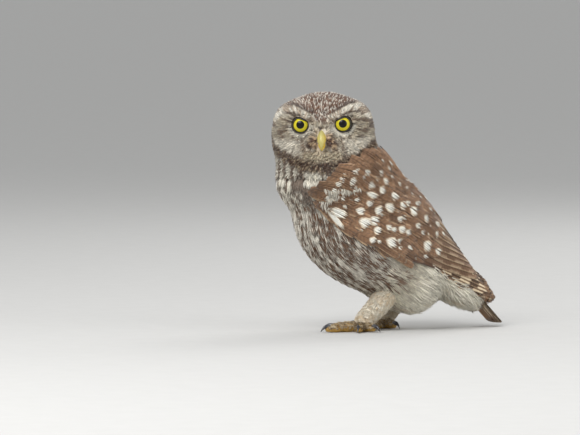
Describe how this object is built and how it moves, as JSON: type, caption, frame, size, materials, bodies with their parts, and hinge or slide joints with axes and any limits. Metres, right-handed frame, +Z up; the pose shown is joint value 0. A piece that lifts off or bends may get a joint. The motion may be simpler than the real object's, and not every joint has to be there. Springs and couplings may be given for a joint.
{
  "type": "little owl",
  "caption": "Small owl standing on both feet with folded wings, body in three-quarter profile and head turned to its left.",
  "frame": {"origin": "middle of the footprint box at the level of the soles", "axes": "+Z up, the breast faces -X and the left side is -Y, so +Y points to the owl's right"},
  "size_m": [0.168, 0.0852, 0.1647],
  "materials": {
    "coat_brown": "matte",
    "coat_pale": "matte",
    "eye": "gloss",
    "lid": "satin",
    "bill": "satin",
    "toe": "matte",
    "claw": "satin"
  },
  "bodies": {
    "root": {"bill_lower": "bill", "bill_upper": "bill", "claw_left_1": "claw", "claw_left_2": "claw", "claw_left_3": "claw", "claw_left_4": "claw", "claw_right_1": "claw", "claw_right_2": "claw", "claw_right_3": "claw", "claw_right_4": "claw", "eye_left": "eye", "eye_right": "eye", "eyelids_left": "lid", "eyelids_right": "lid", "foot_left": "toe", "foot_right": "toe", "head": "coat_pale", "neck": "coat_pale", "tail": "coat_brown", "tarsus_left": "coat_pale", "tarsus_right": "coat_pale", "thigh_left": "coat_pale", "thigh_right": "coat_pale", "toe_left_1": "toe", "toe_left_2": "toe", "toe_left_3": "toe", "toe_left_4": "toe", "toe_right_1": "toe", "toe_right_2": "toe", "toe_right_3": "toe", "toe_right_4": "toe", "torso": "coat_brown", "wing_left": "coat_brown", "wing_right": "coat_brown"}
  },
  "joints": []
}
